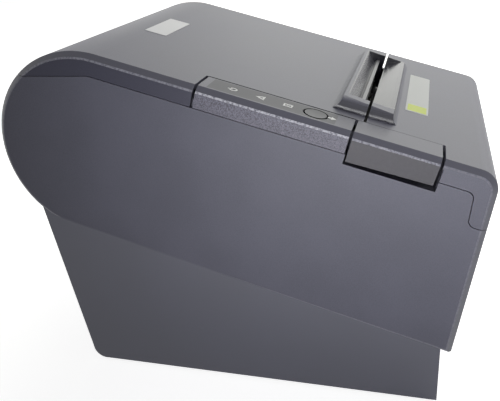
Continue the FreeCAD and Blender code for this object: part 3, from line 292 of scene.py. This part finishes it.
def cover(name, colour, rough, edge, side=None, side_grain=None, side_fleck=0.0):
    """Moulded cover with painted shade on the chamfer, smooth paper trough, ridge ends and gaps.

    edge is the strength of the painted highlight line under the chamfer. side gives the side face a
    colour of its own, with specks of the size side_grain and the strength side_fleck."""
    made, tree, surface = shader_tree(name)
    slow = noise(tree, SLOW_BLOB)
    fine = noise(tree, CASE_GRAIN, GRAIN_DETAIL)
    facing = sideways(tree)
    on_side = beyond(tree, facing, SIDE_TURN)
    width = along(tree, ACROSS)
    depth = along(tree, deck_rear)
    height = along(tree, deck_up)

    # Deck, side face, painted shade on the chamfer and a painted highlight line below it
    mottle = combine(tree, "MULTIPLY", combine(tree, "ADD", slow, fine), 0.5)
    tone = varied(tree, mottle, colour, 0.10, start=0.38, stop=0.62)
    if side:
        specks = varied(tree, noise(tree, side_grain, GRAIN_DETAIL), side, side_fleck)
        tone = blend(tree, on_side, tone, specks)
    # Painted shade: the 45-degree chamfer is darkened to a share of the case colour
    chamfer = within(tree, facing, CHAMFER_TURN, CHAMFER_PLAY)
    tone = blend(tree, chamfer, tone, shade(colour, CHAMFER_PAINTED_SHADE))
    # Painted highlight: sparkling light on the narrow facet under the chamfer, but not on the ridge above
    # the deck
    glint_noise = noise(tree, HIGHLIGHT_GRAIN, GRAIN_DETAIL)
    glint = ramp(tree, glint_noise, BLACK, shade(WHITE[:3], edge), 0.30, 0.60)
    line = both(tree, within(tree, facing, EDGE_TURN, EDGE_PLAY),
                combine(tree, "LESS_THAN", height, deck_level))
    tone = blend(tree, both(tree, line, glint), tone, EDGE_PAINTED_HIGHLIGHT)

    # Painted shade: the trough, the ridge's ends round it, and the gaps at the ridge and the control
    # strip
    # Painted shade: the paper trough's colour is darkened for the shade and dark reflection in it; its
    # lower roughness is a smoother finish
    trough = both(tree, within(tree, width, 0.0, trough_half),
                  within(tree, depth, trough_middle, trough_reach))
    # Painted shade: the ridge's ends darken as their faces turn towards the sides; they are also made
    # smoother
    bead = both(tree, beyond(tree, height, bead_level),
                spread(tree, facing, 0.0, 1.0, BEAD_TURN_START, BEAD_TURN_STOP),
                outside(tree, trough))
    # Painted shade: near black, with no shine, on the faces in the gap at the ridge and beside the
    # control strip
    cover_gap = both(tree, beyond(tree, endways(tree), END_TURN),
                     within(tree, depth, gap_middle, gap_half))
    strip_gap = both(tree, within(tree, width, strip_edge, strip_gap_half),
                     within(tree, depth, strip_middle, strip_half),
                     within(tree, height, deck_level, strip_gap_deep))
    gap = combine(tree, "MAXIMUM", cover_gap, strip_gap)
    # Painted shade on the ridge's ends and in the trough, and near black painted shade in the gaps
    tone = blend(tree, bead, tone, shade(colour, BEAD_PAINTED_SHADE))
    tone = blend(tree, trough, tone, shade(colour, TROUGH_PAINTED_SHADE))
    tone = blend(tree, gap, tone, GAP_PAINTED_SHADE)

    smooth = combine(tree, "MAXIMUM", trough, bead)
    level = spread(tree, slow, rough * 0.93, rough * 1.07)
    level = combine(tree, "SUBTRACT", level, combine(tree, "MULTIPLY", smooth, rough - TROUGH_ROUGH))
    shine = spread(tree, on_side, SPECULAR, SIDE_SPECULAR)
    tree.links.new(tone, surface.inputs["Base Color"])
    tree.links.new(combine(tree, "MAXIMUM", level, gap), surface.inputs["Roughness"])
    tree.links.new(both(tree, shine, outside(tree, gap)), surface.inputs["Specular IOR Level"])
    tree.links.new(bumped(tree, fine, CASE_DEPTH), surface.inputs["Normal"])
    return made


def rimmed(name, colour, rough, round_node, flange, rim):
    """Smooth round cap, square to the deck, with painted shade in a groove of width rim around it.

    flange is how far the node reaches past the cap, out of sight."""
    made, tree, surface = shader_tree(name)
    tone = varied(tree, noise(tree, 0.01), colour, 0.04)
    squares = []
    for direction in (ACROSS, deck_rear):
        low, high = [reach(round_node, direction, pick) for pick in (min, max)]
        away = combine(tree, "SUBTRACT", along(tree, direction), (low + high) / 2)
        squares.append(combine(tree, "MULTIPLY", away, away))
    distance = combine(tree, "SQRT", combine(tree, "ADD", *squares))
    cap = (reach(round_node, ACROSS) - reach(round_node, ACROSS, min)) / 2 - flange
    # Painted shade: the ring at the cap's rim is near black, with no shine
    groove = beyond(tree, distance, cap - rim)
    tree.links.new(blend(tree, groove, tone, GAP_PAINTED_SHADE), surface.inputs["Base Color"])
    tree.links.new(spread(tree, groove, rough, GROOVE_ROUGH), surface.inputs["Roughness"])
    tree.links.new(spread(tree, groove, SPECULAR, 0.0), surface.inputs["Specular IOR Level"])
    return made


def brushed(name, colour, rough, lay=(1, 0, 0), line=0.25 * MM, stretch=0.02, depth=0.01 * MM):
    """Rolled or ground metal with fine lines along the direction lay."""
    made, tree, surface = shader_tree(name)
    place = tree.nodes.new("ShaderNodeTexCoord")
    mapping = tree.nodes.new("ShaderNodeMapping")
    mapping.inputs["Scale"].default_value = [stretch if part else 1.0 for part in lay]
    texture = tree.nodes.new("ShaderNodeTexNoise")
    texture.inputs["Scale"].default_value = 1.0 / line
    tree.links.new(place.outputs["Object"], mapping.inputs["Vector"])
    tree.links.new(mapping.outputs["Vector"], texture.inputs["Vector"])
    lines = texture.outputs["Fac"]
    tone = ramp(tree, lines, shade(colour, 0.86), shade(colour, 1.08))
    tree.links.new(tone, surface.inputs["Base Color"])
    tree.links.new(spread(tree, lines, rough * 0.8, rough * 1.2), surface.inputs["Roughness"])
    tree.links.new(bumped(tree, lines, depth), surface.inputs["Normal"])
    surface.inputs["Metallic"].default_value = 1.0
    return made


def circuit(name):
    """Green board with paler copper tracks under the mask."""
    made, tree, surface = shader_tree(name)
    place = tree.nodes.new("ShaderNodeTexCoord")
    tracks = tree.nodes.new("ShaderNodeTexBrick")
    tracks.inputs["Scale"].default_value = 1.0
    tracks.inputs["Brick Width"].default_value = 9.0 * MM
    tracks.inputs["Row Height"].default_value = 1.4 * MM
    tracks.inputs["Mortar Size"].default_value = 0.35 * MM
    tracks.inputs["Color1"].default_value = (0.012, 0.085, 0.035, 1)
    tracks.inputs["Color2"].default_value = (0.010, 0.070, 0.030, 1)
    tracks.inputs["Mortar"].default_value = (0.035, 0.165, 0.060, 1)
    tree.links.new(place.outputs["Object"], tracks.inputs["Vector"])
    tree.links.new(tracks.outputs["Color"], surface.inputs["Base Color"])
    tree.links.new(bumped(tree, tracks.outputs["Fac"], 0.03 * MM), surface.inputs["Normal"])
    surface.inputs["Roughness"].default_value = 0.32
    return made


case_blue = (0.084, 0.084, 0.113)
case_plastic = cover("case_plastic", case_blue, rough=0.42, edge=0.10)
lid_plastic = cover("lid_plastic", case_blue, rough=0.42, edge=0.26,
                    side=(0.034, 0.034, 0.055), side_grain=0.45 * MM, side_fleck=0.06)
panel_plastic = cover("panel_plastic", case_blue, rough=0.42, edge=0.75,
                      side=(0.098, 0.095, 0.126), side_grain=0.40 * MM, side_fleck=0.52)
lever_plastic = cover("lever_plastic", case_blue, rough=0.40, edge=0.40,
                      side=(0.043, 0.041, 0.051), side_grain=1.2 * MM, side_fleck=0.05)
base_plastic = moulded("base_plastic", (0.036, 0.037, 0.061), rough=0.46, grain=CASE_GRAIN,
                       depth=CASE_DEPTH, fleck=0.10, specular=0.75)
film_plastic = moulded("panel_film", (0.070, 0.071, 0.080), rough=0.55, grain=0.3 * MM,
                       depth=0.004 * MM, mottle=0.04)
button_plastic = rimmed("button_plastic", (0.072, 0.073, 0.082), rough=0.5,
                        round_node="feed_button", flange=0.5 * MM, rim=0.45 * MM)
inner_plastic = moulded("inner_plastic", (0.022, 0.022, 0.025), rough=0.5, grain=0.6 * MM,
                        depth=0.012 * MM)
acetal = moulded("acetal", (0.70, 0.69, 0.64), rough=0.38, grain=0.8 * MM, depth=0.004 * MM,
                 mottle=0.04)
rubber = moulded("rubber", (0.020, 0.020, 0.021), rough=0.72, grain=0.25 * MM, depth=0.012 * MM,
                 mottle=0.12)
ceramic = moulded("head_ceramic", (0.075, 0.060, 0.048), rough=0.22, grain=1.5 * MM,
                  depth=0.002 * MM, mottle=0.10)
socket_black = moulded("socket_black", (0.016, 0.016, 0.018), rough=0.42, grain=0.5 * MM,
                       depth=0.008 * MM)
tear_grey = moulded("tear_grey", (0.16, 0.16, 0.17), rough=0.38, grain=0.5 * MM, depth=0.006 * MM)
lamp_clear = moulded("lamp_clear", (0.70, 0.74, 0.72), rough=0.16, grain=0.8 * MM,
                     depth=0.002 * MM, mottle=0.03)
steel = brushed("sheet_steel", (0.60, 0.60, 0.61), rough=0.34)
blade_steel = brushed("blade_steel", (0.10, 0.10, 0.105), rough=0.34, lay=(0, 1, 0))
shaft_steel = brushed("shaft_steel", (0.68, 0.68, 0.69), rough=0.18)
socket_shell = brushed("socket_shell", (0.64, 0.63, 0.60), rough=0.28, lay=(0, 1, 0))
# Painted shade: the head carrier is made black for the deep shade seen through the paper slot's gap; its
# record gives bare metal
carrier_shade_metal = brushed("carrier_painted_shade", (0.020, 0.020, 0.022), rough=0.5)
motor_metal = brushed("motor_can", (0.42, 0.42, 0.43), rough=0.38)
board_green = circuit("circuit_board")

FINISH = {
    case_plastic: ["main_housing", "front_cover"],
    lid_plastic: ["top_cover"],
    base_plastic: ["base_tray"],
    panel_plastic: ["control_panel"],
    lever_plastic: ["release_lever"],
    film_plastic: ["panel_overlay"],
    button_plastic: ["feed_button"],
    inner_plastic: ["paper_well", "platen_holder"],
    acetal: ["platen_gear", "idler_gear", "motor_pinion", "platen_bushes", "cutter_gear",
             "blade_rack"],
    rubber: ["rubber_feet", "platen_rubber"],
    ceramic: ["print_head"],
    socket_black: ["power_socket", "drawer_socket"],
    socket_shell: ["network_socket", "data_socket"],
    steel: ["mechanism_frame", "case_screws", "board_screws"],
    blade_steel: ["fixed_blade", "moving_blade"],
    tear_grey: ["tear_bar"],
    shaft_steel: ["platen_shaft", "hinge_pins", "lever_pin", "idler_stud", "cutter_shaft",
                  "drive_pinion"],
    carrier_shade_metal: ["head_carrier"],
    motor_metal: ["feed_motor", "cutter_motor"],
    lamp_clear: ["light_guides"],
    board_green: ["main_board", "panel_board"],
}
for finish, names in FINISH.items():
    for name in names:
        nodes[name].data.materials.clear()
        nodes[name].data.materials.append(finish)

# Signs on the film and bare plates on the covers


def plate(name, outline, thick, place, body, finish, holes=()):
    """Thin flat piece: an outline in metres with holes, thick metres high, that rides on a body."""
    mesh = bpy.data.meshes.new(name)
    build = bmesh.new()
    edges = []
    for ring in [outline] + list(holes):
        corners = [build.verts.new((x, y, 0)) for x, y in ring]
        edges += [build.edges.new((corners[k - 1], corners[k])) for k in range(len(corners))]
    bmesh.ops.triangle_fill(build, edges=edges, use_beauty=True, normal=(0, 0, 1))
    grown = bmesh.ops.extrude_face_region(build, geom=build.faces[:])
    raised = [item for item in grown["geom"] if isinstance(item, bmesh.types.BMVert)]
    bmesh.ops.translate(build, verts=raised, vec=(0, 0, thick))
    bmesh.ops.recalc_face_normals(build, faces=build.faces[:])
    build.to_mesh(mesh)
    build.free()
    mesh.transform(place)
    mesh.materials.append(finish)
    piece = bpy.data.objects.new(name, mesh)
    bpy.context.scene.collection.objects.link(piece)
    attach(piece, body)


def box_outline(x, y, long, wide):
    """Rectangle about the point x, y."""
    return [(x - long / 2, y - wide / 2), (x + long / 2, y - wide / 2),
            (x + long / 2, y + wide / 2), (x - long / 2, y + wide / 2)]


def rounded(long, wide, corner, steps=6):
    """Rectangle with rounded corners about the origin."""
    points = []
    for quarter, (sx, sy) in enumerate(((1, 1), (-1, 1), (-1, -1), (1, -1))):
        for k in range(steps + 1):
            turn = math.pi / 2 * (quarter + k / steps)
            points.append((sx * (long / 2 - corner) + corner * math.cos(turn),
                           sy * (wide / 2 - corner) + corner * math.sin(turn)))
    return points


def arc(radius, start, sweep, steps=24):
    """Points on a circle about the origin, from the angle start through sweep, both in degrees."""
    turns = [math.radians(start + sweep * k / steps) for k in range(steps + 1)]
    return [(radius * math.cos(turn), radius * math.sin(turn)) for turn in turns]


ink = moulded("white_ink", (0.80, 0.80, 0.80), rough=0.5, grain=0.4 * MM, depth=0.002 * MM,
              mottle=0.03)
badge_metal = moulded("badge_plate", (0.50, 0.50, 0.51), rough=0.40, grain=0.35 * MM,
                      depth=0.004 * MM, mottle=0.03, metal=0.3)
paper_white = moulded("sticker_paper", (0.58, 0.59, 0.58), rough=0.6, grain=0.5 * MM,
                      depth=0.004 * MM, mottle=0.03)
sticker_lime = moulded("sticker_lime", (0.52, 0.60, 0.09), rough=0.5, grain=0.5 * MM,
                       depth=0.003 * MM, mottle=0.05)

INK_THICK = 0.03 * MM
BADGE_THICK = 0.12 * MM
STICKER_THICK = 0.08 * MM
PATCH_THICK = 0.10 * MM


def sign(name, from_rear, parts):
    """One sign on the film, from_rear metres from its rear edge, made of outlines with holes."""
    place = deck_place(film_middle_x, film_rear - from_rear, film_top)
    for k, (outline, holes) in enumerate(parts):
        plate("%s_%d" % (name, k), outline, INK_THICK, place, "chassis", ink, holes)


# Power: a ring that is open at the top, with a bar in the opening
ring_size, ring_line = 1.7 * MM, 0.65 * MM
ring_start, ring_sweep = 125, 290
power_ring = (arc(ring_size, ring_start, ring_sweep)
              + arc(ring_size - ring_line, ring_start + ring_sweep, -ring_sweep))
power_bar = box_outline(0, ring_size * 0.75, ring_line, ring_size * 1.1)
sign("sign_power", 9.0 * MM, [(power_ring, ()), (power_bar, ())])

# Fault: a triangle with a smaller one cut out of its middle
triangle = [(-2.1 * MM, -1.6 * MM), (2.1 * MM, -1.6 * MM), (0, 2.0 * MM)]
hole_share, triangle_middle = 0.42, -0.4 * MM
triangle_hole = [(x * hole_share, (y - triangle_middle) * hole_share + triangle_middle)
                 for x, y in triangle]
sign("sign_fault", 19.9 * MM, [(triangle, (triangle_hole,))])

# Paper: the frame of a sheet with two lines on it
sheet_frame = box_outline(0, 0, 2.9 * MM, 3.6 * MM)
sheet_hole = box_outline(0, 0, 1.6 * MM, 2.3 * MM)
sheet_lines = [box_outline(0, y, 0.9 * MM, 0.3 * MM) for y in (0.35 * MM, -0.35 * MM)]
sign("sign_paper", 30.7 * MM, [(sheet_frame, (sheet_hole,))] + [(line, ()) for line in sheet_lines])

# Feed: an arrow towards the front
arrow_stem, arrow_head, arrow_neck, arrow_half = 0.55 * MM, 1.6 * MM, 0.1 * MM, 1.8 * MM
arrow = [(-arrow_stem, arrow_half), (-arrow_stem, arrow_neck), (-arrow_head, arrow_neck),
         (0, -arrow_half),
         (arrow_head, arrow_neck), (arrow_stem, arrow_neck), (arrow_stem, arrow_half)]
sign("sign_feed", 47.6 * MM, [(arrow, ())])

# Bare badge on the lid, and bare sticker with a coloured patch on the front cover

badge_outline = rounded(31.5 * MM, 10.2 * MM, corner=0.8 * MM)
badge_place = deck_place(-2.5 * MM, film_rear + 41.6 * MM, deck_level)
plate("lid_badge", badge_outline, BADGE_THICK, badge_place, "lid", badge_metal)

sticker_long = 61.2 * MM
sticker_outline = rounded(sticker_long, 9.6 * MM, corner=0.6 * MM)
patch_outline = box_outline(-sticker_long / 2 + 5.6 * MM, 0, 9.0 * MM, 8.0 * MM)
sticker_place = deck_place(5.3 * MM, film_rear - 78.4 * MM, deck_level)
plate("front_sticker", sticker_outline, STICKER_THICK, sticker_place, "chassis", paper_white)
plate("sticker_patch", patch_outline, PATCH_THICK, sticker_place, "chassis", sticker_lime)

# Floor and world: white to the camera and in reflections, with the object's shadow on the floor

FLOOR_REACH, FLOOR_HEIGHT = 6.0, -0.2 * MM
FLOOR_PALE, FLOOR_PALER = (0.86, 0.86, 0.86, 1), (0.88, 0.88, 0.88, 1)
FLOOR_SEEN = 0.85
WORLD_FILL, WORLD_SEEN = 0.09, 1.0


def stage_plane(name, size, height, finish):
    """Flat square of the set that reaches size metres to each side."""
    mesh = bpy.data.meshes.new(name)
    corners = [(x, y, height) for x, y in box_outline(0, 0, 2 * size, 2 * size)]
    mesh.from_pydata(corners, [], [(0, 1, 2, 3)])
    mesh.materials.append(finish)
    made = bpy.data.objects.new(name, mesh)
    bpy.context.scene.collection.objects.link(made)


def seen_level(tree, other, seen):
    """A level that camera, glossy and transmission rays see as seen, and all other rays as other."""
    rays = tree.nodes.new("ShaderNodeLightPath").outputs
    direct = combine(tree, "MAXIMUM", rays["Is Camera Ray"], rays["Is Glossy Ray"])
    shown = combine(tree, "MAXIMUM", direct, rays["Is Transmission Ray"])
    return spread(tree, shown, other, seen)


floor_finish, floor_tree, floor_surface = shader_tree("pale_floor")
floor_tone = ramp(floor_tree, noise(floor_tree, 0.2), FLOOR_PALE, FLOOR_PALER)
floor_glow = seen_level(floor_tree, 0.0, FLOOR_SEEN)
floor_tree.links.new(floor_tone, floor_surface.inputs["Base Color"])
floor_tree.links.new(floor_glow, floor_surface.inputs["Emission Strength"])
floor_surface.inputs["Emission Color"].default_value = WHITE
floor_surface.inputs["Roughness"].default_value = 0.9
floor_surface.inputs["Specular IOR Level"].default_value = 0.0
stage_plane("floor", FLOOR_REACH, FLOOR_HEIGHT, floor_finish)

world = bpy.data.worlds.new("studio")
bpy.context.scene.world = world
world.use_nodes = True
sky = world.node_tree.nodes["Background"]
sky.inputs["Color"].default_value = WHITE
world_level = seen_level(world.node_tree, WORLD_FILL, WORLD_SEEN)
world.node_tree.links.new(world_level, sky.inputs["Strength"])

# Light


def softbox(name, place, aim, size, power, colour=WHITE[:3], beam=180):
    """Rectangular lamp of a size in metres and a power in watts, with its beam's spread in degrees."""
    light = bpy.data.lights.new(name, "AREA")
    light.shape = "RECTANGLE"
    light.size, light.size_y = size
    light.energy = power
    light.color = colour
    light.spread = math.radians(beam)
    made = bpy.data.objects.new(name, light)
    made.location = place
    made.rotation_euler = (Vector(aim) - Vector(place)).to_track_quat("-Z", "Y").to_euler()
    bpy.context.scene.collection.objects.link(made)


middle = (cad_box[0] + cad_box[1]) / 2
front_deck = (0.0, -0.09, 0.12)
near_side = (-0.07, -0.08, 0.095)
softbox("far_softbox", (1.3, -0.14, 0.45), middle, size=(2.0, 0.4), power=1.8, colour=WARM)
softbox("top_softbox", (1.0, -0.3, 1.25), middle, size=(1.2, 1.2), power=7.5, colour=WARM)
softbox("front_softbox", (0.25, -0.45, 0.5), front_deck, size=(0.4, 0.4), power=1.7)
softbox("near_softbox", (-0.36, -0.07, 0.07), near_side, size=(0.25, 0.25), power=0.22, beam=45)

# Camera: place, aim, roll and field of view are fitted to the photograph's edges

camera_place = Vector((-285.45, -73.36, 189.67)) * MM
camera_aim = Vector((0.0, 12.43, 55.55)) * MM
camera_roll = math.radians(-3.87)
field_pixels, frame_width = 630.3, 500.0
lens = bpy.data.cameras.new("camera")
lens.sensor_width = 36.0
lens.lens = lens.sensor_width * field_pixels / frame_width
lens.clip_start = 10 * MM
camera = bpy.data.objects.new("camera", lens)
camera.location = camera_place
camera.rotation_mode = "QUATERNION"
look = (camera_aim - camera_place).to_track_quat("-Z", "Y")
camera.rotation_quaternion = look @ Quaternion((0, 0, 1), camera_roll)
bpy.context.scene.collection.objects.link(camera)
bpy.context.scene.camera = camera
bpy.context.scene.view_settings.view_transform = "Standard"

bpy.context.view_layer.update()
